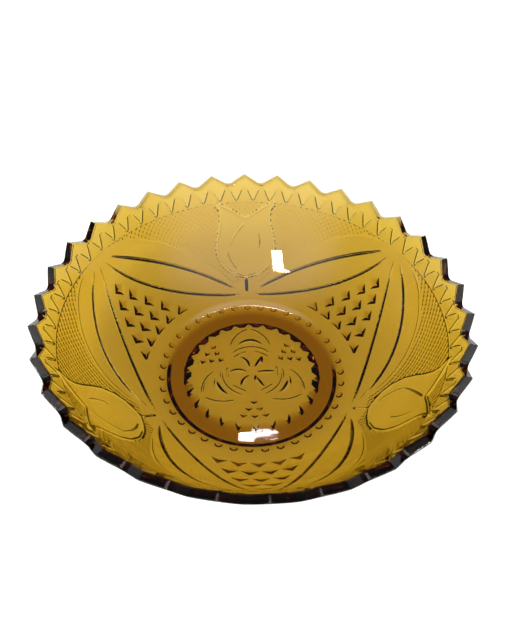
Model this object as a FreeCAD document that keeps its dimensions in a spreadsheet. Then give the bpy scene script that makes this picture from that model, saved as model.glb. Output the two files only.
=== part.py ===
"""Pressed-glass candy dish: an open bowl, one piece of moulded amber glass.

Millimetres. +Z is up, the origin is on the axis in the plane that the foot ring rests on, and the
first tulip panel points along +Y. The bowl is plain inside. All of its pattern is on the outside:
saw teeth and zigzag facets at the rim, six curved leaves that join into a star, three tulips, three
patches of diamond points, a ring of beads round the foot, and a trefoil medallion under the floor.
"""
import FreeCAD, Part
import math
import os

import Sketcher

V = FreeCAD.Vector
doc = FreeCAD.newDocument("candy_dish")

SIZES = {
    "rim_radius": 100.0,        # tooth tips
    "flare_angle": 63.0,        # slope of the upper wall
    "curve_radius": 78.0,       # outside of the curved lower wall
    "curve_reach": 20.2,        # axis to the centre of that curve
    "curve_height": 76.4,       # rest plane to the centre of that curve
    "curve_start": 18.5,        # angle on that curve where the wall leaves the foot
    "wall": 4.2,
    "floor_under": 3.4,         # underside of the floor, above the rest plane
    "floor_top": 7.6,
    "floor_blend": 25.0,        # inside radius between floor and wall
    "foot_inner": 31.5,         # where the floor's underside turns down into the foot
    "foot_flat_inner": 36.0,
    "foot_flat_outer": 42.4,
    "tooth_count": 33,
    "tooth_depth": 4.6,
    "tooth_valley": 5.0,        # radius at the bottom of each notch
    "bead_count": 39,
    "bead_radius": 1.5,
    "bead_ring": 47.4,
    "flute_count": 26,
    "flute_width": 4.6,
    "flute_reach": 35.2,        # radius at the outer point of each flute
    "flute_depth": 0.2,         # how far a flute is cut above the floor's underside
    "groove_depth": 0.7,
    "point_height": 0.8,        # how far the diamond points and beads stand proud
    "zigzag_count": 60,
    "zigzag_low": 93.0,         # radius at the points of the zigzag triangles
    "zigzag_high": 96.3,        # radius at their bases
    "relief_reach": 70.0,       # height of the upright prisms that carry the outlines
}

sheet = doc.addObject("Spreadsheet::Sheet", "sizes")
for row, (word, value) in enumerate(SIZES.items(), start=1):
    sheet.set(f"A{row}", word)
    sheet.set(f"B{row}", str(value))
    sheet.setAlias(f"B{row}", word)
doc.recompute()


SECTORS = (90, 210, 330)        # azimuths of the tulip panels
HALF_SECTOR = 60                # from a tulip's axis to the diamond patch beside it


def rad(degrees):
    return math.radians(degrees)


def polar(radius, azimuth):
    """A point in plan, with the azimuth in degrees from +X."""
    return V(radius * math.cos(rad(azimuth)), radius * math.sin(rad(azimuth)), 0)


def wall_radius(along):
    """Plan radius of the outer face at a length along its slope from the foot."""
    curve_length = SIZES["curve_radius"] * rad(SIZES["flare_angle"] - SIZES["curve_start"])
    if along <= curve_length:
        angle = SIZES["curve_start"] + math.degrees(along / SIZES["curve_radius"])
        return SIZES["curve_reach"] + SIZES["curve_radius"] * math.sin(rad(angle))
    end = SIZES["curve_reach"] + SIZES["curve_radius"] * math.sin(rad(SIZES["flare_angle"]))
    return end + (along - curve_length) * math.cos(rad(SIZES["flare_angle"]))


# ---- the shared section, in the plane of radius and height ----

def on_curve(radius, angle):
    """A point of a circle round the wall curve's centre; angle 0 points straight down."""
    return V(
        SIZES["curve_reach"] + radius * math.sin(rad(angle)),
        SIZES["curve_height"] - radius * math.cos(rad(angle)),
        0,
    )


def up_flare(point, height):
    """The point where the straight upper wall from here reaches a height."""
    rise = height - point.y
    return V(point.x + rise / math.tan(rad(SIZES["flare_angle"])), height, 0)


outer_break = on_curve(SIZES["curve_radius"], SIZES["flare_angle"])
RIM_HEIGHT = outer_break.y + (SIZES["rim_radius"] - outer_break.x) * math.tan(rad(SIZES["flare_angle"]))


def nearest_ends(sketch, here, there):
    """Which end of one edge and which end of another lie closest together."""
    pairs = [(first, second) for first in (1, 2) for second in (1, 2)]
    gaps = [
        sketch.getPoint(here, first).distanceToPoint(sketch.getPoint(there, second))
        for first, second in pairs
    ]
    return pairs[gaps.index(min(gaps))]


def close_sketch(sketch, pieces):
    """Add the pieces to a sketch and join each to the next, the last to the first."""
    numbers = [sketch.addGeometry(piece, False) for piece in pieces]
    for here, there in zip(numbers, numbers[1:] + numbers[:1]):
        first, second = nearest_ends(sketch, here, there)
        sketch.addConstraint(Sketcher.Constraint("Coincident", here, first, there, second))
    return numbers


def arc_through(start, middle, end):
    return Part.Arc(start, middle, end)


def line(start, end):
    return Part.LineSegment(start, end)


def origin_plane(body, role):
    return next(item for item in body.Origin.OriginFeatures if item.Role == role)


def attach(sketch, body, role):
    sketch.AttachmentSupport = [(origin_plane(body, role), "")]
    sketch.MapMode = "FlatFace"


# ---- the plain bowl ----

def bowl_body():
    body = doc.addObject("PartDesign::Body", "plain_bowl")
    section = body.newObject("Sketcher::SketchObject", "bowl_section")
    attach(section, body, "XZ_Plane")

    inner_radius = SIZES["curve_radius"] - SIZES["wall"]
    blend = SIZES["floor_blend"]
    blend_height = SIZES["floor_top"] + blend
    centre_drop = SIZES["curve_height"] - blend_height
    centre_gap = inner_radius - blend
    blend_reach = SIZES["curve_reach"] + math.sqrt(centre_gap ** 2 - centre_drop ** 2)
    blend_angle = math.degrees(math.asin((blend_reach - SIZES["curve_reach"]) / centre_gap))
    middle_blend = V(
        blend_reach + blend * math.sin(rad(blend_angle / 2)),
        blend_height - blend * math.cos(rad(blend_angle / 2)),
        0,
    )

    axis_under = V(0, SIZES["floor_under"], 0)
    foot_inner = V(SIZES["foot_inner"], SIZES["floor_under"], 0)
    flat_inner = V(SIZES["foot_flat_inner"], 0, 0)
    flat_outer = V(SIZES["foot_flat_outer"], 0, 0)
    wall_start = on_curve(SIZES["curve_radius"], SIZES["curve_start"])
    wall_middle = on_curve(SIZES["curve_radius"], (SIZES["curve_start"] + SIZES["flare_angle"]) / 2)
    outer_rim = up_flare(outer_break, RIM_HEIGHT)
    inner_break = on_curve(inner_radius, SIZES["flare_angle"])
    inner_rim = up_flare(inner_break, RIM_HEIGHT)
    inner_middle = on_curve(inner_radius, (blend_angle + SIZES["flare_angle"]) / 2)
    blend_top = on_curve(inner_radius, blend_angle)
    blend_foot = V(blend_reach, SIZES["floor_top"], 0)
    axis_top = V(0, SIZES["floor_top"], 0)

    edges = {
        "under": line(axis_under, foot_inner),
        "foot_inside": line(foot_inner, flat_inner),
        "foot": line(flat_inner, flat_outer),
        "foot_outside": line(flat_outer, wall_start),
        "outer_curve": arc_through(wall_start, wall_middle, outer_break),
        "outer_flare": line(outer_break, outer_rim),
        "rim": line(outer_rim, inner_rim),
        "inner_flare": line(inner_rim, inner_break),
        "inner_curve": arc_through(inner_break, inner_middle, blend_top),
        "blend": arc_through(blend_top, middle_blend, blend_foot),
        "floor": line(blend_foot, axis_top),
        "axis": line(axis_top, axis_under),
    }
    at = dict(zip(edges, close_sketch(section, list(edges.values()))))
    measures = {
        "foot_inner": ("DistanceX", (-1, 1, at["under"], 2)),
        "foot_flat_inner": ("DistanceX", (-1, 1, at["foot"], 1)),
        "foot_flat_outer": ("DistanceX", (-1, 1, at["foot"], 2)),
        "floor_under": ("DistanceY", (-1, 1, at["under"], 1)),
        "floor_top": ("DistanceY", (-1, 1, at["floor"], 2)),
        "rim_radius": ("DistanceX", (-1, 1, at["rim"], 1)),
        "curve_radius": ("Radius", (at["outer_curve"],)),
        "floor_blend": ("Radius", (at["blend"],)),
    }
    section.addConstraint(Sketcher.Constraint("PointOnObject", at["axis"], 1, -2))
    section.addConstraint(Sketcher.Constraint("Vertical", at["axis"]))
    section.addConstraint(Sketcher.Constraint("PointOnObject", at["foot"], 1, -1))
    for flat in ("under", "foot", "rim", "floor"):
        section.addConstraint(Sketcher.Constraint("Horizontal", at[flat]))
    for word, (kind, where) in measures.items():
        number = section.addConstraint(Sketcher.Constraint(kind, *where, SIZES[word]))
        section.renameConstraint(number, word)
        section.setExpression(f"Constraints.{word}", f"sizes.{word}")
    wall = section.addConstraint(Sketcher.Constraint("Radius", at["inner_curve"], inner_radius))
    section.renameConstraint(wall, "inner_radius")
    section.setExpression("Constraints.inner_radius", "sizes.curve_radius - sizes.wall")

    turned = body.newObject("PartDesign::Revolution", "turned_bowl")
    turned.Profile = section
    turned.ReferenceAxis = (section, ["V_Axis"])
    turned.Angle = 360
    doc.recompute()
    return body


def cut_teeth(body):
    """One rounded notch straight out through the rim, repeated round the axis."""
    notch = body.newObject("Sketcher::SketchObject", "notch_outline")
    attach(notch, body, "XZ_Plane")
    half = math.pi * SIZES["rim_radius"] / SIZES["tooth_count"]
    rounding = SIZES["tooth_valley"]
    plain_flank = math.atan2(SIZES["tooth_depth"], half)
    # the rounding fills the bottom of the valley, so the flanks aim a little below the wanted depth
    filled = rounding * (1 / math.cos(plain_flank) - 1)
    sharp_height = RIM_HEIGHT - SIZES["tooth_depth"] - filled
    flank = math.atan2(RIM_HEIGHT - sharp_height, half)
    touch = rounding * math.sin(flank)
    touch_height = sharp_height + touch * math.tan(flank)
    bottom_height = sharp_height + rounding * (1 / math.cos(flank) - 1)
    over = 6.0
    over_half = half + over / math.tan(flank)
    outline = [
        line(V(-over_half, RIM_HEIGHT + over, 0), V(-touch, touch_height, 0)),
        arc_through(V(-touch, touch_height, 0), V(0, bottom_height, 0), V(touch, touch_height, 0)),
        line(V(touch, touch_height, 0), V(over_half, RIM_HEIGHT + over, 0)),
        line(V(over_half, RIM_HEIGHT + over, 0), V(-over_half, RIM_HEIGHT + over, 0)),
    ]
    close_sketch(notch, outline)
    cut = body.newObject("PartDesign::Pocket", "rim_notch")
    cut.Profile = notch
    cut.Type = 0
    cut.setExpression("Length", "sizes.rim_radius + 10")
    cut.Reversed = True
    doc.recompute()
    teeth = body.newObject("PartDesign::PolarPattern", "rim_teeth")
    teeth.Originals = [cut]
    teeth.Axis = (notch, ["V_Axis"])
    teeth.Angle = 360
    teeth.setExpression("Occurrences", "sizes.tooth_count")
    body.Tip = teeth
    doc.recompute()


# ---- upright prisms that carry the pattern outlines ----

def crescent(start, end, bow, half_width):
    """A groove that tapers to both ends: two arcs from start to end.

    bow is how far the middle stands off the chord, to the left of start to end.
    """
    chord = end.sub(start)
    left = V(-chord.y, chord.x, 0).normalize()
    middle = (start + end) * 0.5
    near = middle + left * (bow - half_width)
    far = middle + left * (bow + half_width)
    return [arc_through(start, near, end), arc_through(end, far, start)]


def polygon(points):
    return [line(here, there) for here, there in zip(points, points[1:] + points[:1])]


def rhombus(centre_radius, centre_azimuth, half_across, half_out):
    centre = polar(centre_radius, centre_azimuth)
    across = polar(half_across, centre_azimuth + 90)
    out = polar(half_out, centre_azimuth)
    return [centre.sub(out), centre.add(across), centre.add(out), centre.sub(across)]


def prisms(name, outlines, bottom, height_expression):
    """One upright extrusion of many closed outlines drawn in plan."""
    plan = doc.addObject("Sketcher::SketchObject", name + "_plan")
    plan.Placement = FreeCAD.Placement(V(0, 0, bottom), FreeCAD.Rotation())
    for outline in outlines:
        for piece in outline:
            plan.addGeometry(piece, False)
    raised = doc.addObject("Part::Extrusion", name + "_prisms")
    raised.Base = plan
    raised.DirMode = "Custom"
    raised.Dir = V(0, 0, 1)
    raised.Solid = True
    raised.setExpression("LengthFwd", height_expression)
    return raised


def skin(name, inside, outside):
    """A ring that follows the outer wall, from a depth inside it to a height outside it."""
    ring_section = doc.addObject("Sketcher::SketchObject", name + "_section")
    ring_section.Placement = FreeCAD.Placement(V(0, 0, 0), FreeCAD.Rotation(V(1, 0, 0), 90))
    near = SIZES["curve_radius"] - inside
    far = SIZES["curve_radius"] + outside
    start = SIZES["curve_start"]
    flare = SIZES["flare_angle"]
    middle = (start + flare) / 2
    outline = [
        arc_through(on_curve(near, start), on_curve(near, middle), on_curve(near, flare)),
        line(on_curve(near, flare), up_flare(on_curve(near, flare), RIM_HEIGHT)),
        line(up_flare(on_curve(near, flare), RIM_HEIGHT), up_flare(on_curve(far, flare), RIM_HEIGHT)),
        line(up_flare(on_curve(far, flare), RIM_HEIGHT), on_curve(far, flare)),
        arc_through(on_curve(far, flare), on_curve(far, middle), on_curve(far, start)),
        line(on_curve(far, start), on_curve(near, start)),
    ]
    for piece in outline:
        ring_section.addGeometry(piece, False)
    ring = doc.addObject("Part::Revolution", name)
    ring.Source = ring_section
    ring.Axis = V(0, 0, 1)
    ring.Base = V(0, 0, 0)
    ring.Angle = 360
    ring.Solid = True
    return ring


def panel(sector, across, out, side=1):
    """A plan point of one tulip panel: millimetres across its axis and out from the bowl's axis."""
    turn = FreeCAD.Rotation(V(0, 0, 1), sector - SECTORS[0])
    return turn.multVec(V(side * across, out, 0))


def leaf_grooves():
    """Each leaf has a straight edge, a bowed crease and a more bowed edge along the stipple."""
    outlines = []
    for sector in SECTORS:
        for side in (-1, 1):
            ends = panel(sector, 3.2, 55.5, side), panel(sector, 77.6, 47.0, side)
            outlines.append(crescent(*ends, side * 1.4, 0.8))
            ends = panel(sector, 7.5, 58.6, side), panel(sector, 74.6, 51.2, side)
            outlines.append(crescent(*ends, side * 9.6, 0.8))
            ends = panel(sector, 9.5, 62.0, side), panel(sector, 72.5, 55.0, side)
            outlines.append(crescent(*ends, side * 12.6, 0.5))
    return outlines


def tulip_grooves():
    """Outline of the flower, the edges of its petals, a fold line and the stem."""
    outlines = []
    for sector in SECTORS:
        for side in (-1, 1):
            bottom = panel(sector, 1.0, 64.9, side)
            belly = panel(sector, 17.1, 75.4, side)
            waist = panel(sector, 14.2, 88.0, side)
            outlines.append(crescent(bottom, belly, side * -3.0, 0.5))
            outlines.append(crescent(belly.add(waist.sub(belly) * 0.03), waist, side * -0.6, 0.5))
        petal = panel(sector, -4.8, 68.6), panel(sector, -11.1, 76.8)
        outlines.append(crescent(*petal, 1.3, 0.35))
        petal = panel(sector, -11.1, 77.6), panel(sector, 6.3, 90.4)
        outlines.append(crescent(*petal, 1.5, 0.35))
        petal = panel(sector, -9.6, 90.8), panel(sector, -2.4, 87.6)
        outlines.append(crescent(*petal, 0.6, 0.35))
        fold = panel(sector, 7.4, 76.4), panel(sector, 7.4, 84.7)
        outlines.append(crescent(*fold, -1.4, 0.35))
        stem = panel(sector, 0, 63.4), panel(sector, 0, 57.2)
        outlines.append(crescent(*stem, 0, 0.5))
    return outlines


def zigzag_triangles():
    """Triangles that point down, side by side under the teeth."""
    outlines = []
    pitch = 360 / SIZES["zigzag_count"]
    half_base = 0.36 * pitch
    for number in range(SIZES["zigzag_count"]):
        azimuth = SECTORS[0] + (number + 0.5) * pitch
        low = polar(SIZES["zigzag_low"], azimuth)
        left = polar(SIZES["zigzag_high"], azimuth + half_base)
        right = polar(SIZES["zigzag_high"], azimuth - half_base)
        outlines.append(polygon([low, right, left]))
    return outlines


def bead_outlines():
    """A ring of round beads under the wall, just outside the foot."""
    step = 360 / SIZES["bead_count"]
    places = [SECTORS[0] + number * step for number in range(SIZES["bead_count"])]
    return [
        [Part.Circle(polar(SIZES["bead_ring"], azimuth), V(0, 0, 1), SIZES["bead_radius"])]
        for azimuth in places
    ]


def diamond_points():
    """Rows of 5, 4, 3, 2 and 1 points on each patch, the row of five next to the foot."""
    pitch = 9.3
    half_across = 3.1
    half_along = 4.0
    outlines = []
    for sector in SECTORS:
        patch = sector + HALF_SECTOR
        for row, along in enumerate((13.3, 21.0, 29.1, 37.3, 45.0)):
            count = 5 - row
            radius = wall_radius(along)
            inner = radius - wall_radius(along - half_along)
            outer = wall_radius(along + half_along) - radius
            for place in range(count):
                azimuth = patch + math.degrees((place - (count - 1) / 2) * pitch / radius)
                corners = rhombus(radius, azimuth, half_across, (inner + outer) / 2)
                if row == 0:
                    corners = corners[1:]
                outlines.append(polygon(corners))
    return outlines


def medallion_grooves():
    """Three petals, a dart in each, and a ring and six-rayed star in the middle."""
    outlines = []
    for sector in SECTORS:
        for side in (-1, 1):
            tip = panel(sector, 0.6, 29.4, -side)
            outlines.append(crescent(polar(20.4, sector + side * 31), tip, side * 2.4, 0.3))
        outlines.append(crescent(polar(18.5, sector + 21), polar(18.5, sector - 21), 4.2, 0.7))
        outlines.append(crescent(polar(13.6, sector + 48), polar(13.6, sector - 48), 6.9, 0.35))
        for middle in (sector - 30, sector + 30):
            outlines.append(crescent(polar(4.2, middle), polar(10.6, middle), 0.9, 0.45))
    return outlines


def medallion_points():
    """Small points in threes, twos and ones between the petals."""
    pitch = 5.4
    half_across = 2.0
    half_out = 1.3
    outlines = []
    for sector in SECTORS:
        gap = sector + HALF_SECTOR
        for row, radius in enumerate((18.6, 22.8, 27.0)):
            count = row + 1
            for place in range(count):
                azimuth = gap + math.degrees((place - (count - 1) / 2) * pitch / radius)
                outlines.append(polygon(rhombus(radius, azimuth, half_across, half_out)))
    return outlines


def flutes():
    """Pointed flutes where the floor meets the foot: the flat floor runs out into each."""
    outlines = []
    half = SIZES["flute_width"] / 2
    overlap = 0.4                   # into the flat floor, so that no sliver is left
    pitch = 360 / SIZES["flute_count"]
    for number in range(SIZES["flute_count"]):
        azimuth = SECTORS[0] + number * pitch
        across = polar(half, azimuth + 90)
        inner = polar(SIZES["foot_inner"] - overlap, azimuth)
        outer = polar(SIZES["flute_reach"], azimuth)
        outlines.append(polygon([inner.sub(across), outer, inner.add(across)]))
    return outlines


def boolean(kind, name, base, tool):
    result = doc.addObject(kind, name)
    result.Base = base
    result.Tool = tool
    doc.recompute()
    return result


def pressed_pattern(body):
    """Fuse what stands proud of the outer face, then cut what is sunk into it."""
    clear = 3.0                     # how far the cutting skin reaches outside the wall
    root = 0.5                      # how far what stands proud is set into the glass
    below = -1.0                    # the prisms start under the rest plane
    sunk_skin = skin("sunk_skin", SIZES["groove_depth"], clear)
    proud_skin = skin("proud_skin", root, SIZES["point_height"])
    reach = "sizes.relief_reach"
    under = SIZES["floor_under"]

    points = prisms("points", diamond_points() + bead_outlines(), below, reach)
    points_on_wall = boolean("Part::Common", "points_on_wall", points, proud_skin)
    bowl = boolean("Part::Fuse", "bowl_with_points", body, points_on_wall)
    small_points = prisms("small_points", medallion_points(), under - 0.6, "1.2")
    bowl = boolean("Part::Fuse", "bowl_with_small_points", bowl, small_points)

    families = {"leaf": leaf_grooves(), "tulip": tulip_grooves(), "zigzag": zigzag_triangles()}
    for name, outlines in families.items():
        sunk = prisms(name, outlines, below, reach)
        in_wall = boolean("Part::Common", f"{name}_in_wall", sunk, sunk_skin)
        bowl = boolean("Part::Cut", f"bowl_with_{name}", bowl, in_wall)

    base_cuts = prisms("base_cuts", medallion_grooves(), under - 1, "1 + sizes.groove_depth")
    bowl = boolean("Part::Cut", "bowl_with_medallion", bowl, base_cuts)
    flute_cuts = prisms("flute_cuts", flutes(), below, "1 + sizes.floor_under + sizes.flute_depth")
    bowl = boolean("Part::Cut", "bowl_fluted", bowl, flute_cuts)
    bowl.Label = "bowl"
    return bowl


def check_document():
    for item in doc.Objects:
        if "Invalid" in item.State or "Error" in item.State:
            raise RuntimeError(f"{item.Name} did not build: {item.State}")


plain = bowl_body()
cut_teeth(plain)
bowl = pressed_pattern(plain)
doc.recompute()
check_document()
if bowl.Shape.isNull() or not bowl.Shape.isValid() or len(bowl.Shape.Solids) != 1:
    raise RuntimeError("the bowl is not one valid solid")

os.makedirs("parts", exist_ok=True)
bowl.Shape.exportStep(f"parts/{bowl.Label}.step")
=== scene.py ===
"""Looks of the pressed amber glass candy dish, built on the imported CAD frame.

The bowl is one closed mesh, made here row by row from its section, with the whole pressed pattern as
real relief on the outside. The sizes below are millimetres and the mesh is in metres, +Z up.
"""

import math

import bpy
import numpy as np
from mathutils import Matrix, Quaternion, Vector


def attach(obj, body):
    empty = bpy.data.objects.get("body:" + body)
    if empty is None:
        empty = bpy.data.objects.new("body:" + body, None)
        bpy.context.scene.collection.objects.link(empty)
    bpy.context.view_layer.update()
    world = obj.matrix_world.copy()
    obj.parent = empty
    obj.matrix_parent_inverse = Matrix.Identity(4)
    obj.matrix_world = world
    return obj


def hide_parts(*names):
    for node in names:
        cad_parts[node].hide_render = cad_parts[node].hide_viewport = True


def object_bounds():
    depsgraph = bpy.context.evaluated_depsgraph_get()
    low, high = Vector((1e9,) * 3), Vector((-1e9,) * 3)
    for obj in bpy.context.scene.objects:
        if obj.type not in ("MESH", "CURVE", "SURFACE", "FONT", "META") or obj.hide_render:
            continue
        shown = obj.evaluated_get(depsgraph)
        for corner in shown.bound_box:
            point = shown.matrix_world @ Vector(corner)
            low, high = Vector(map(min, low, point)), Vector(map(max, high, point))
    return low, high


MM = 0.001

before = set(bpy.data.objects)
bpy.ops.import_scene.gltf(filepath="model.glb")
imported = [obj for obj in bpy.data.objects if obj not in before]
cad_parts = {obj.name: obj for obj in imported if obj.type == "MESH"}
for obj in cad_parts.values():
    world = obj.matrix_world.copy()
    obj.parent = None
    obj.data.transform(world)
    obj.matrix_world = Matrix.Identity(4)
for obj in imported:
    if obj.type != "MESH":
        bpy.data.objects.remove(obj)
cad_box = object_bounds()

# ---- sizes of the bowl, in millimetres ----

RIM_RADIUS = cad_box[1][1] / MM
RIM_HEIGHT = cad_box[1][2] / MM

FLARE = math.radians(63.0)          # slope of the upper wall
CURVE = 78.0                        # outside radius of the curved lower wall
CURVE_REACH = 20.2                  # axis to the centre of that curve
CURVE_HEIGHT = 76.4
CURVE_START = math.radians(18.5)
WALL = 4.2
FLOOR_UNDER = 3.4
FLOOR_TOP = 7.6
FLOOR_BLEND = 18.0
FOOT_INNER = 31.5
FOOT_FLAT = (36.0, 42.4)

TOOTH_COUNT = 33
TOOTH_DEPTH = 4.6
TOOTH_VALLEY = 5.0
RIM_ROUND = 0.45
RIM_THINNING = 1.1                  # how much thinner the wall is at the tooth tips than lower down
SHARP_EDGE = 42.0                   # degrees between faces, for the bottoms of the grooves

BEAD_COUNT = 39
BEAD_RING = 46.9
BEAD_RADIUS = 1.9
BEAD_HEIGHT = 1.1
FLUTE_COUNT = 26
FLUTE_REACH = 34.4
ZIGZAG_COUNT = 60
ZIGZAG_SPAN = (67.8, 75.1)          # along the wall from the foot

PANELS = 3                          # the pattern repeats three times round the bowl
STEPS_PER_TOOTH = 60
COLUMNS = TOOTH_COUNT * STEPS_PER_TOOTH
ROW_STEP = 0.25
RIM_STEPS = 16
SETTLING_ROUNDS = 4                 # the rim's height and radius depend on each other

CURVE_LENGTH = CURVE * (FLARE - CURVE_START)
STRIP_START = 75.6                  # above this the rows follow the teeth
INNER_BREAK = CURVE_REACH + (CURVE - WALL) * math.sin(FLARE)
INNER_START = CURVE_HEIGHT - (CURVE - WALL) * math.cos(FLARE)

FLOOR_GAP = 0.05                    # air between the table and the foot
FLOOR_GLOW = 0.47


# ---- the section ----

def wall_section(along, inset=0.0):
    """Radius, height and slope angle of the wall at a length along its outside, moved inwards."""
    angle = np.minimum(CURVE_START + np.asarray(along) / CURVE, FLARE)
    straight = np.maximum(along - CURVE_LENGTH, 0)
    radius = CURVE_REACH + (CURVE - inset) * np.sin(angle) + straight * math.cos(FLARE)
    height = CURVE_HEIGHT - (CURVE - inset) * np.cos(angle) + straight * math.sin(FLARE)
    return radius, height, angle


def along_at_height(height):
    """Length along the outside of the straight upper wall where it reaches a height."""
    start = CURVE_HEIGHT - CURVE * math.cos(FLARE)
    return CURVE_LENGTH + (height - start) / math.sin(FLARE)


def notch_height(across):
    """Height of the rim across one notch, measured from the middle of its valley."""
    half = math.pi * RIM_RADIUS / TOOTH_COUNT
    flank = math.atan2(TOOTH_DEPTH, half)
    sharp = RIM_HEIGHT - TOOTH_DEPTH - TOOTH_VALLEY * (1 / math.cos(flank) - 1)
    flank = math.atan2(RIM_HEIGHT - sharp, half)
    touch = TOOTH_VALLEY * math.sin(flank)
    bottom = sharp + TOOTH_VALLEY * (1 / math.cos(flank) - 1)
    across = np.abs(across)
    curved = bottom + TOOTH_VALLEY - np.sqrt(np.maximum(TOOTH_VALLEY ** 2 - across ** 2, 0))
    return np.where(across < touch, curved, sharp + across * math.tan(flank))


def from_valley(azimuth):
    """Angle from the middle of the nearest notch; a tooth tip is at the tulip's axis."""
    pitch = 2 * math.pi / TOOTH_COUNT
    return (azimuth - math.pi / 2) % pitch - pitch / 2


# ---- the pressed pattern on the wall ----

def circle_through(start, end, bow):
    """The circle of an arc between two plan points; a positive bow is to the left of the chord."""
    start, end = np.array(start, float), np.array(end, float)
    chord = end - start
    length = np.hypot(*chord)
    left = np.array([-chord[1], chord[0]]) / length
    radius = (length ** 2 / 4 + bow ** 2) / (2 * abs(bow))
    centre = (start + end) / 2 + left * (bow - math.copysign(radius, bow))
    return start, chord, length, left, radius, centre


class Panel:
    """The grid of one tulip panel, a third of the wall, with the tools that draw on it."""

    def __init__(self, azimuth, along):
        self.turn = math.pi / 2 - azimuth           # to the right of the tulip, seen from inside
        self.along = along
        self.radius, _, self.slope = wall_section(along)
        self.x = self.radius * np.sin(self.turn)
        self.y = self.radius * np.cos(self.turn)
        self.height = np.zeros_like(self.x)

    def arc(self, start, end, bow):
        """Signed distance on the wall to an arc drawn in plan, and how far along it each point is."""
        start, chord, length, left, radius, centre = circle_through(start, end, bow)
        dx, dy = self.x - centre[0], self.y - centre[1]
        reach = np.hypot(dx, dy)
        outward = (dx * np.sin(self.turn) + dy * np.cos(self.turn)) / reach * np.cos(self.slope)
        sideways = (dx * np.cos(self.turn) - dy * np.sin(self.turn)) / reach
        distance = (reach - radius) / np.hypot(outward, sideways) * math.copysign(1, bow)
        far_side = (dx * left[0] + dy * left[1]) * bow < 0
        distance = np.where(far_side, math.copysign(radius, -bow), distance)
        share = ((self.x - start[0]) * chord[0] + (self.y - start[1]) * chord[1]) / length ** 2
        return distance, share

    def groove(self, start, end, bow, half_width, depth, taper=0.2):
        """A V groove along an arc, that runs out to nothing at both ends."""
        distance, share = self.arc(start, end, bow)
        ends = np.clip(np.minimum(share, 1 - share) / taper, 0, 1)
        fade = np.sin(ends * math.pi / 2)
        width = half_width * (0.35 + 0.65 * fade)
        self.height -= soft_peak(distance / width) * depth * fade

    def mirrored_groove(self, start, end, bow, *sizes):
        """The same groove on both sides of the tulip."""
        self.groove(start, end, bow, *sizes)
        self.groove((-start[0], start[1]), (-end[0], end[1]), -bow, *sizes)


def soft_peak(share):
    """1 at the middle of a groove, 0 outside it, with the very bottom rounded."""
    return np.clip(1.02 - np.hypot(share, 0.02), 0, 1)


def soft_step(value):
    value = np.clip(value, 0, 1)
    return value * value * (3 - 2 * value)


LEAF_EDGE = ((3.2, 55.5), (77.8, 47.0), 1.2)
LEAF_CREASE = ((6.5, 58.2), (75.5, 50.6), 10.2)
LEAF_BACK = ((8.5, 61.0), (75.0, 53.5), 14.6)


def leaves(panel):
    """The two half stars beside a tulip: a straight edge, a bowed crease and a bowed back."""
    panel.mirrored_groove(*LEAF_EDGE, 0.8, 2.2)
    panel.mirrored_groove(*LEAF_CREASE, 0.9, 2.7)
    panel.mirrored_groove(*LEAF_BACK, 0.5, 0.35)


def behind_leaf(panel):
    """Distance outside the backs of both leaves, positive where the stipple is."""
    start, end, bow = LEAF_BACK
    right, _ = panel.arc(start, end, bow)
    left, _ = panel.arc((-start[0], start[1]), (-end[0], end[1]), -bow)
    across = np.abs(panel.x) - start[0]
    beyond_chord = panel.y - start[1] - across * (end[1] - start[1]) / (end[0] - start[0])
    return np.minimum(np.where(panel.x > 0, right, -left), beyond_chord)


TULIP_LENGTHS = (22.2, 23.4, 27.0, 32.1, 39.3, 46.4, 52.5, 58.6, 62.6, 66.8)
TULIP_WIDTHS = (0.0, 5.0, 10.7, 14.8, 17.2, 16.8, 15.3, 14.3, 14.8, 17.4)


def smooth_through(lengths, widths, along):
    """A smooth curve through a few points: straight pieces, then a running mean over 3 mm."""
    fine = np.arange(lengths[0] - 6, lengths[-1] + 6, 0.1)
    values = np.interp(fine, lengths, widths)
    window = np.hanning(31)
    values = np.convolve(np.pad(values, 15, mode="edge"), window / window.sum(), mode="valid")
    return np.interp(along, fine, values), np.interp(along, fine, np.gradient(values, 0.1))


def inside_tulip(panel):
    """Distance inside the flower's outline, with the V between its two petals left out."""
    width, steep = smooth_through(TULIP_LENGTHS, TULIP_WIDTHS, panel.along)
    inside = (width - np.abs(panel.x)) / np.hypot(1, steep)
    inside = np.minimum(inside, panel.along - TULIP_LENGTHS[0])
    middle, lowest = 0.4, 57.6          # bottom of the V
    mouth = lowest + np.where(panel.x < middle, (middle - panel.x) * 0.58, (panel.x - middle) * 0.62)
    return np.minimum(inside, (mouth - panel.along) * 0.86)


def tulip(panel):
    """Flower sunk a little into the stippled ground, with the petal edges, a fold and a stem."""
    inside = inside_tulip(panel)
    panel.height -= 0.3 * soft_step(inside / 0.9 + 0.5) + 0.8 * soft_peak(inside / 1.2)
    panel.groove((-4.4, 68.0), (-11.1, 77.4), 1.4, 0.6, 0.6)
    panel.groove((-11.2, 76.6), (0.8, 87.6), 1.2, 0.6, 0.6)
    panel.groove((7.4, 76.4), (7.4, 84.7), -1.3, 0.6, 0.6)
    panel.groove((0, 64.6), (0, 56.8), 0.02, 0.9, 1.5)


def stipple(panel):
    """The ground behind the tulip: raised a little, and covered with small round bumps."""
    ground = np.minimum(behind_leaf(panel) - 0.7, -inside_tulip(panel) - 0.5)
    ground = np.minimum(ground, ZIGZAG_SPAN[0] - 0.7 - panel.along)
    pitch = 2 * math.pi / 174
    row = 1.5
    wander = 0.2 * np.sin(panel.turn * 23 + panel.along * 0.31)
    place = panel.along / row + wander
    line = np.round(place)
    across = panel.turn / pitch + 0.5 * (line % 2)
    across = (across - np.round(across)) * pitch * panel.radius
    apart = np.hypot(across, (place - line) * row)
    dome = np.clip(1 - (apart / 0.88) ** 2, 0, 1)
    panel.height += soft_step(ground / 0.5) * (0.05 + 0.4 * dome)


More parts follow.
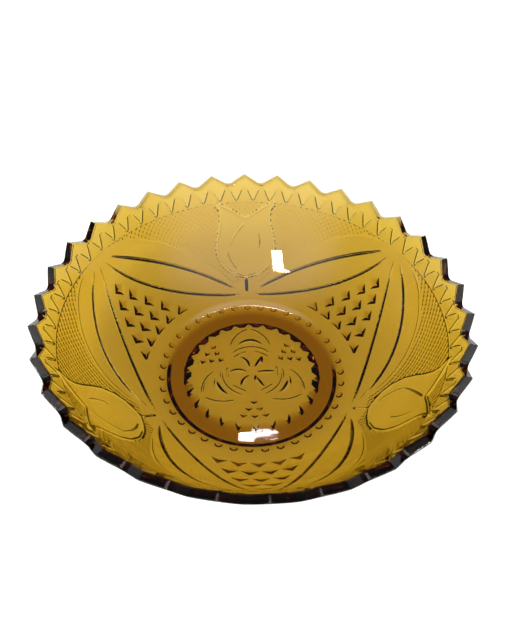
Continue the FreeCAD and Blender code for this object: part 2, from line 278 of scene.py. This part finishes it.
def zigzag(panel):
    """Triangles under the teeth: those that point down are lower, like the plain band above them."""
    pitch = 2 * math.pi / ZIGZAG_COUNT
    low, high = ZIGZAG_SPAN
    offset = np.abs((panel.turn % pitch) - pitch / 2) * panel.radius
    lean = 0.34 * pitch * RIM_RADIUS / (high - low)
    inside = ((panel.along - low) * lean - offset) / math.hypot(1, lean)
    low_part = soft_step(np.maximum(inside, panel.along - high) / 0.45 + 0.5)
    ramp = soft_step((panel.along - low + 16) / 14)
    panel.height += 0.3 * ramp * (1 - low_part)
    ends = soft_step(np.minimum(panel.along - low, high - panel.along) / 2 + 0.3)
    panel.height -= 0.65 * ends * soft_peak(inside / (0.3 + 0.5 * ends))
    line = np.clip(1 - np.abs(panel.along - low + 0.5) / 0.4, 0, 1)
    panel.height -= 0.2 * line


def diamond_points(panel):
    """Pyramids beside the leaves, in rows of five to one, the row of five next to the foot."""
    pitch = 9.3
    half_across = 4.1
    half_along = 4.3
    away = np.abs(panel.turn) - math.pi / PANELS
    for row, middle in enumerate((13.0, 21.0, 29.2, 37.4, 45.2)):
        radius = wall_section(middle)[0]
        count = 5 - row
        for place in range(count):
            across = (away - (place - (count - 1) / 2) * pitch / radius) * panel.radius
            point = 1 - np.abs(across) / half_across - np.abs(panel.along - middle) / half_along
            if row == 0:
                point = np.minimum(point, (panel.along - 12.0) / 1.2)
            point = np.clip(point, 0, 1)
            panel.height += 1.75 * point * (1.5 - 0.5 * point)


def beads(panel):
    """Domes round the foot."""
    pitch = 2 * math.pi / BEAD_COUNT
    middle = CURVE * (math.asin((BEAD_RING - CURVE_REACH) / CURVE) - CURVE_START)
    across = ((panel.turn + pitch / 2) % pitch - pitch / 2) * panel.radius
    apart = np.hypot(across, panel.along - middle - 0.4)
    ball = (BEAD_RADIUS ** 2 + BEAD_HEIGHT ** 2) / (2 * BEAD_HEIGHT)
    dome = np.sqrt(np.maximum(ball ** 2 - apart ** 2, 0)) - (ball - BEAD_HEIGHT)
    panel.height += np.maximum(dome, 0)


def wall_relief(azimuth, along):
    panel = Panel(azimuth, along)
    stipple(panel)
    leaves(panel)
    tulip(panel)
    zigzag(panel)
    diamond_points(panel)
    beads(panel)
    return panel.height


# ---- the medallion under the floor ----

def plan_groove(x, y, start, end, bow, half_width, depth, taper=0.25):
    """How deep a tapering V groove cuts at points of a flat face."""
    start, chord, length, left, radius, centre = circle_through(start, end, bow)
    distance = np.hypot(x - centre[0], y - centre[1]) - radius
    near_side = ((x - centre[0]) * left[0] + (y - centre[1]) * left[1]) * bow > 0
    share = ((x - start[0]) * chord[0] + (y - start[1]) * chord[1]) / length ** 2
    fade = np.sin(np.clip(np.minimum(share, 1 - share) / taper, 0, 1) * math.pi / 2)
    return soft_peak(distance / (half_width * (0.3 + 0.7 * fade))) * depth * fade * near_side


def around(radius, degrees):
    return radius * math.sin(math.radians(degrees)), radius * math.cos(math.radians(degrees))


def medallion(azimuth, radius):
    """Height of the pattern cut up into the floor's underside."""
    third = 2 * math.pi / PANELS
    turn = (math.pi / 2 - azimuth + third / 2) % third - third / 2
    x, y = radius * np.sin(turn), radius * np.cos(turn)
    strokes = [
        (around(18.9, -23), around(18.9, 23), 3.2, 2.0, 1.3, 0.5),
        (around(15.7, -45), around(15.7, 45), 5.3, 0.8, 0.8),
    ]
    for side in (-1, 1):
        strokes += [
            (around(19.7, side * 33), (0, 29.8), -side * 2.3, 0.75, 0.9),
            (around(13.4, side * 46), around(13.6, side * 8), -side * 0.3, 0.7, 0.7),
            (around(2.6, side * 30), around(12.0, side * 30), -0.8, 1.6, 1.4, 0.5),
        ]
    cut = np.zeros_like(x)
    for stroke in strokes:
        cut = np.maximum(cut, plan_groove(x, y, *stroke))
    return cut - medallion_points(turn, radius)


def medallion_points(turn, radius):
    """Small points in threes, twos and ones between the petals."""
    away = np.abs(turn) - math.pi / PANELS
    height = np.zeros_like(turn)
    for row, middle in enumerate((18.6, 22.8, 27.0)):
        count = row + 1
        for place in range(count):
            across = (away - (place - (count - 1) / 2) * 5.6 / middle) * radius
            point = 1 - np.abs(across) / 2.6 - np.abs(radius - middle) / 1.9
            height = np.maximum(height, 1.1 * np.clip(point, 0, 1))
    return height


def flute_start(azimuth):
    """Radius where the floor's underside turns down into the foot: it runs out in points."""
    pitch = 2 * math.pi / FLUTE_COUNT
    share = np.abs((azimuth - math.pi / 2 + pitch / 2) % pitch - pitch / 2) / (pitch / 2)
    return FOOT_INNER + (FLUTE_REACH - FOOT_INNER) * np.clip(1 - share / 0.62, 0, 1)


def underside(azimuth, radius):
    """Height of the floor's underside and the foot ring."""
    start = flute_start(azimuth)
    drop = np.clip((radius - start) / (FOOT_FLAT[0] - start), 0, 1) * FLOOR_UNDER
    wall_start = wall_section(0.0)
    lift = np.clip((radius - FOOT_FLAT[1]) / (wall_start[0] - FOOT_FLAT[1]), 0, 1) * wall_start[1]
    return FLOOR_UNDER + medallion(azimuth, radius) * (radius < FOOT_INNER - 0.6) - drop + lift


# ---- rows of the mesh ----

def running_mean(rows, reach):
    """Rounds the corners of a height field along its first axis."""
    padded = np.pad(rows, ((reach, reach), (0, 0)), mode="edge")
    total = sum(padded[shift:shift + len(rows)] for shift in range(2 * reach + 1))
    return total / (2 * reach + 1)


def row_count(length):
    return max(int(round(length / ROW_STEP)), 2)


def underside_rows(azimuth):
    end = wall_section(0.0)[0]
    radius = np.linspace(0.0, end, row_count(end) + 1)[1:, None] * np.ones_like(azimuth)
    height = underside(azimuth, radius)
    height[:-2] = running_mean(height, 1)[:-2]
    return radius, height


def outer_wall_rows(azimuth):
    """From the foot up to just under the toothed edge, with the pattern pushed out of the wall."""
    turn = from_valley(azimuth)
    top = RIM_HEIGHT
    for _ in range(SETTLING_ROUNDS):
        edge_radius = wall_section(along_at_height(top))[0]
        top = notch_height(edge_radius * np.sin(turn))
    edge_along = along_at_height(top - RIM_ROUND)
    plain = np.linspace(0, STRIP_START, row_count(STRIP_START) + 1)[1:, None]
    along = plain * np.ones_like(azimuth)
    third = len(azimuth) // PANELS
    relief = np.tile(wall_relief(azimuth[:third], along[:, :third]), (1, PANELS))
    share = np.linspace(0, 1, row_count(6.0) + 1)[1:, None]
    strip = STRIP_START + (edge_along - STRIP_START) * share
    along = np.vstack([along, strip])
    relief = np.vstack([relief, np.zeros_like(strip)])
    radius, height, slope = wall_section(along)
    return radius + relief * np.sin(slope), height - relief * np.cos(slope)


def rim_rows(azimuth, outer_radius, outer_height):
    """Across the thick toothed edge, rounded at both sides, with rows closer together there."""
    turn = from_valley(azimuth)
    edge_radius = outer_radius + RIM_ROUND / math.tan(FLARE)
    thick = edge_radius - inner_flare_radius(outer_height + RIM_ROUND)
    rows = []
    for step in range(1, RIM_STEPS):
        share = step / RIM_STEPS
        across = thick * (share - 0.5 * math.sin(2 * math.pi * share) / math.pi)
        radius = edge_radius - across
        corner = np.clip(np.minimum(across, thick - across) / RIM_ROUND, 0, 1)
        drop = RIM_ROUND * (1 - np.sqrt(1 - (1 - corner) ** 2))
        rows.append((radius, notch_height(radius * np.sin(turn)) - drop))
    return np.array([row[0] for row in rows]), np.array([row[1] for row in rows])


def inner_flare_radius(height):
    """The straight inside of the upper wall, which thins the glass a little towards the teeth."""
    rise = height - INNER_START
    return INNER_BREAK + rise / math.tan(FLARE) + RIM_THINNING * rise / (RIM_HEIGHT - INNER_START)


def inner_wall_rows(azimuth):
    """From the toothed edge down the smooth inside to the middle of the floor."""
    turn = from_valley(azimuth)
    top = RIM_HEIGHT
    for _ in range(SETTLING_ROUNDS):
        top = notch_height(inner_flare_radius(top) * np.sin(turn))
    top = top - RIM_ROUND
    share = np.linspace(0, 1, row_count(14.0) + 1)[:, None]
    strip_height = top + (INNER_START - top) * share
    strip_radius = inner_flare_radius(strip_height)

    centre_drop = CURVE_HEIGHT - FLOOR_TOP - FLOOR_BLEND
    centre_gap = CURVE - WALL - FLOOR_BLEND
    blend_angle = math.acos(centre_drop / centre_gap)
    blend_reach = CURVE_REACH + centre_gap * math.sin(blend_angle)
    angle = np.linspace(FLARE, blend_angle, row_count(80) // 2)[1:]
    curve = [(CURVE_REACH + (CURVE - WALL) * math.sin(a), CURVE_HEIGHT - (CURVE - WALL) * math.cos(a))
             for a in angle]
    angle = np.linspace(blend_angle, 0, row_count(20) // 2)[1:]
    blend = [(blend_reach + FLOOR_BLEND * math.sin(a), FLOOR_TOP + FLOOR_BLEND * (1 - math.cos(a)))
             for a in angle]
    floor = [(r, FLOOR_TOP) for r in np.linspace(blend_reach, 0, row_count(40) // 3)[1:-1]]
    section = np.array(curve + blend + floor)
    radius = np.vstack([strip_radius, section[:, :1] * np.ones_like(azimuth)])
    height = np.vstack([strip_height, section[:, 1:] * np.ones_like(azimuth)])
    return radius, height


def bowl_mesh():
    """Underside, outer wall, rim and inside as one closed skin of quads with a fan at each pole."""
    azimuth = math.pi / 2 + (np.arange(COLUMNS) - COLUMNS / (2 * PANELS)) * 2 * math.pi / COLUMNS
    under = underside_rows(azimuth)
    wall = outer_wall_rows(azimuth)
    rim = rim_rows(azimuth, wall[0][-1], wall[1][-1])
    inside = inner_wall_rows(azimuth)
    radius = np.vstack([under[0], wall[0], rim[0], inside[0]])
    height = np.vstack([under[1], wall[1], rim[1], inside[1]])
    rows = len(radius)
    grid = np.stack([radius * np.cos(azimuth), radius * np.sin(azimuth), height], axis=-1)
    poles = np.array([[0, 0, FLOOR_UNDER], [0, 0, FLOOR_TOP]])
    points = np.vstack([grid.reshape(-1, 3), poles]) * MM

    index = np.arange(rows * COLUMNS).reshape(rows, COLUMNS)
    beside = np.roll(index, -1, axis=1)
    quads = np.stack([index[:-1], beside[:-1], beside[1:], index[1:]], axis=-1).reshape(-1, 4)
    low, high = rows * COLUMNS, rows * COLUMNS + 1
    low_fan = np.stack([np.full(COLUMNS, low), beside[0], index[0]], axis=-1)
    high_fan = np.stack([np.full(COLUMNS, high), index[-1], beside[-1]], axis=-1)

    corners = np.concatenate([quads.ravel(), low_fan.ravel(), high_fan.ravel()])
    sizes = np.concatenate([np.full(len(quads), 4), np.full(2 * COLUMNS, 3)])
    mesh = bpy.data.meshes.new("glass_bowl")
    mesh.vertices.add(len(points))
    mesh.vertices.foreach_set("co", points.ravel())
    mesh.loops.add(len(corners))
    mesh.loops.foreach_set("vertex_index", corners)
    mesh.polygons.add(len(sizes))
    mesh.polygons.foreach_set("loop_start", np.concatenate([[0], np.cumsum(sizes)[:-1]]))
    mesh.polygons.foreach_set("loop_total", sizes)
    mesh.polygons.foreach_set("use_smooth", np.ones(len(sizes), bool))
    mesh.update()
    mesh.validate()
    mesh.set_sharp_from_angle(angle=math.radians(SHARP_EDGE))
    return mesh


# ---- materials ----

def amber_glass():
    """Clear amber glass: colour from its thickness, with faint mould ripple and handling marks."""
    material = bpy.data.materials.new("amber_glass")
    material.use_nodes = True
    nodes, links = material.node_tree.nodes, material.node_tree.links
    shader = nodes["Principled BSDF"]
    shader.inputs["Base Color"].default_value = (1.0, 0.97, 0.9, 1)
    shader.inputs["Transmission Weight"].default_value = 1.0
    shader.inputs["IOR"].default_value = 1.5

    place = nodes.new("ShaderNodeTexCoord")
    marks = nodes.new("ShaderNodeTexNoise")
    marks.inputs["Scale"].default_value = 90.0
    marks.inputs["Detail"].default_value = 4.0
    links.new(place.outputs["Object"], marks.inputs["Vector"])
    gloss = nodes.new("ShaderNodeMapRange")
    gloss.inputs["From Min"].default_value = 0.4
    gloss.inputs["From Max"].default_value = 0.75
    gloss.inputs["To Min"].default_value = 0.0
    gloss.inputs["To Max"].default_value = 0.05
    links.new(marks.outputs["Fac"], gloss.inputs["Value"])
    links.new(gloss.outputs["Result"], shader.inputs["Roughness"])

    ripple = nodes.new("ShaderNodeTexNoise")
    ripple.inputs["Scale"].default_value = 55.0
    ripple.inputs["Detail"].default_value = 1.5
    links.new(place.outputs["Object"], ripple.inputs["Vector"])
    bump = nodes.new("ShaderNodeBump")
    bump.inputs["Strength"].default_value = 0.12
    bump.inputs["Distance"].default_value = 0.0006
    links.new(ripple.outputs["Fac"], bump.inputs["Height"])
    links.new(bump.outputs["Normal"], shader.inputs["Normal"])

    depth = nodes.new("ShaderNodeVolumeAbsorption")
    depth.inputs["Color"].default_value = (0.854, 0.744, 0.14, 1)
    depth.inputs["Density"].default_value = 900.0
    links.new(depth.outputs["Volume"], nodes["Material Output"].inputs["Volume"])
    return material


def pale_floor():
    material = bpy.data.materials.new("pale_floor")
    material.use_nodes = True
    shader = material.node_tree.nodes["Principled BSDF"]
    shader.inputs["Base Color"].default_value = (0.95, 0.95, 0.95, 1)
    shader.inputs["Roughness"].default_value = 0.9
    shader.inputs["Specular IOR Level"].default_value = 0.1
    shader.inputs["Emission Color"].default_value = (1, 1, 1, 1)
    shader.inputs["Emission Strength"].default_value = FLOOR_GLOW
    return material


# ---- the piece ----

def add_object(name, data, material=None):
    thing = bpy.data.objects.new(name, data)
    bpy.context.scene.collection.objects.link(thing)
    if material:
        data.materials.append(material)
    return thing


bowl = add_object("pressed_glass_bowl", bowl_mesh(), amber_glass())
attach(bowl, "root")
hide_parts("bowl")


# ---- floor, light and camera ----

def floor():
    """A flat floor with a hair of air under the foot, since dry glass never touches all over."""
    half = 3.0
    low = -FLOOR_GAP * MM
    corners = [(-half, -half, low), (half, -half, low), (half, half, low), (-half, half, low)]
    mesh = bpy.data.meshes.new("floor")
    mesh.from_pydata(corners, [], [(0, 1, 2, 3)])
    add_object("floor", mesh, pale_floor())


def lamp(name, seen_at, azimuth, elevation, width, tall, roll, watts):
    """A rectangular lamp one metre from the spot on the glass that shows its reflection."""
    azimuth, elevation = math.radians(azimuth), math.radians(elevation)
    level = math.cos(elevation)
    away = Vector((level * math.cos(azimuth), level * math.sin(azimuth), math.sin(elevation)))
    data = bpy.data.lights.new(name, "AREA")
    data.shape = "RECTANGLE"
    data.size = width
    data.size_y = tall
    data.energy = watts
    thing = add_object(name, data)
    thing.location = Vector(seen_at) * MM + away
    facing = (-away).to_track_quat("-Z", "Y") @ Quaternion((0, 0, 1), math.radians(roll))
    thing.rotation_euler = facing.to_euler()


def window_light():
    """A narrow window beside the viewer, with a short sill."""
    lamp("window_tall", (19, 68, 22), -114.8, 52.2, 0.1, 0.285, 19, 2.0)
    lamp("window_sill", (22, 63, 19), -124.3, 58.6, 0.11, 0.045, 22, 0.4)


def ceiling_light():
    """A short tube with a wider end, high up behind the dish; the edge of the floor shows it twice."""
    lamp("ceiling_tube", (2, -41, 7.6), 84.3, 58.2, 0.088, 0.007, 5, 0.07)
    lamp("ceiling_bulb", (2, -41, 7.6), 87.1, 58.9, 0.036, 0.03, 0, 0.08)


def added(nodes, links, first, second):
    """The sum of two outputs."""
    node = nodes.new("ShaderNodeMath")
    node.operation = "ADD"
    links.new(first, node.inputs[0])
    links.new(second, node.inputs[1])
    return node.outputs["Value"]


def smooth_range(nodes, links, source, start, end):
    """A smooth step of an output, from one pair of (input, result) to another."""
    node = nodes.new("ShaderNodeMapRange")
    node.interpolation_type = "SMOOTHSTEP"
    node.inputs["From Min"].default_value = start[0]
    node.inputs["To Min"].default_value = start[1]
    node.inputs["From Max"].default_value = end[0]
    node.inputs["To Max"].default_value = end[1]
    links.new(source, node.inputs["Value"])
    return node.outputs["Result"]


def toward(nodes, links, source, direction, start, end):
    """A smooth step by how closely an output points in a direction."""
    closeness = nodes.new("ShaderNodeVectorMath")
    closeness.operation = "DOT_PRODUCT"
    closeness.inputs[1].default_value = direction
    links.new(source, closeness.inputs[0])
    return smooth_range(nodes, links, closeness.outputs["Value"], start, end)


def studio_world():
    """A dim room: a paler horizon, a broad soft light behind the viewer and a small glow overhead."""
    world = bpy.data.worlds.new("studio")
    bpy.context.scene.world = world
    world.use_nodes = True
    nodes, links = world.node_tree.nodes, world.node_tree.links
    place = nodes.new("ShaderNodeTexCoord").outputs["Generated"]
    parts = nodes.new("ShaderNodeSeparateXYZ")
    links.new(place, parts.inputs["Vector"])
    horizon = smooth_range(nodes, links, parts.outputs["Z"], (0.05, 0.5), (0.35, 0.1))
    softbox = toward(nodes, links, place, (0, -0.8, 0.6), (0.45, 0.0), (0.88, 1.8))
    glow = toward(nodes, links, place, (0.045, 0.255, 0.966), (0.955, 0.0), (0.995, 2.0))
    room = added(nodes, links, horizon, softbox)
    links.new(added(nodes, links, room, glow), nodes["Background"].inputs["Strength"])
    nodes["Background"].inputs["Color"].default_value = (1, 1, 1, 1)


def camera():
    """Above and in front, a little to the left, as close as a tabletop photograph is taken."""
    distance = 0.3116
    elevation = math.radians(52.69)
    azimuth = math.radians(-94.6)
    pan = math.radians(-0.23)
    tilt = math.radians(5.66)
    roll = math.radians(1.83)
    target = Vector((0, 0, 2.5 * MM))
    away = Vector((math.cos(elevation) * math.cos(azimuth), math.cos(elevation) * math.sin(azimuth),
                   math.sin(elevation)))
    forward = -away
    right = forward.cross(Vector((0, 0, 1))).normalized()
    up = right.cross(forward)
    ahead = forward * math.cos(tilt) + up * math.sin(tilt)
    upright = up * math.cos(tilt) - forward * math.sin(tilt)
    sight = ahead * math.cos(pan) - right * math.sin(pan)
    side = right * math.cos(pan) + ahead * math.sin(pan)
    across = side * math.cos(roll) + upright * math.sin(roll)
    above = upright * math.cos(roll) - side * math.sin(roll)
    data = bpy.data.cameras.new("camera")
    data.sensor_width = 36.0
    data.lens = 33.17
    data.clip_start = 0.01
    thing = add_object("camera", data)
    thing.matrix_world = Matrix.Translation(target + away * distance) @ Matrix((
        (across.x, above.x, -sight.x), (across.y, above.y, -sight.y), (across.z, above.z, -sight.z),
    )).to_4x4()
    bpy.context.scene.camera = thing


def light_paths():
    scene = bpy.context.scene
    scene.view_settings.view_transform = "Standard"
    scene.cycles.max_bounces = 24
    scene.cycles.transmission_bounces = 24
    scene.cycles.glossy_bounces = 12
    scene.cycles.diffuse_bounces = 4
    scene.cycles.caustics_refractive = True
    scene.cycles.caustics_reflective = True
    scene.cycles.sample_clamp_indirect = 6.0


floor()
studio_world()
window_light()
ceiling_light()
camera()
light_paths()
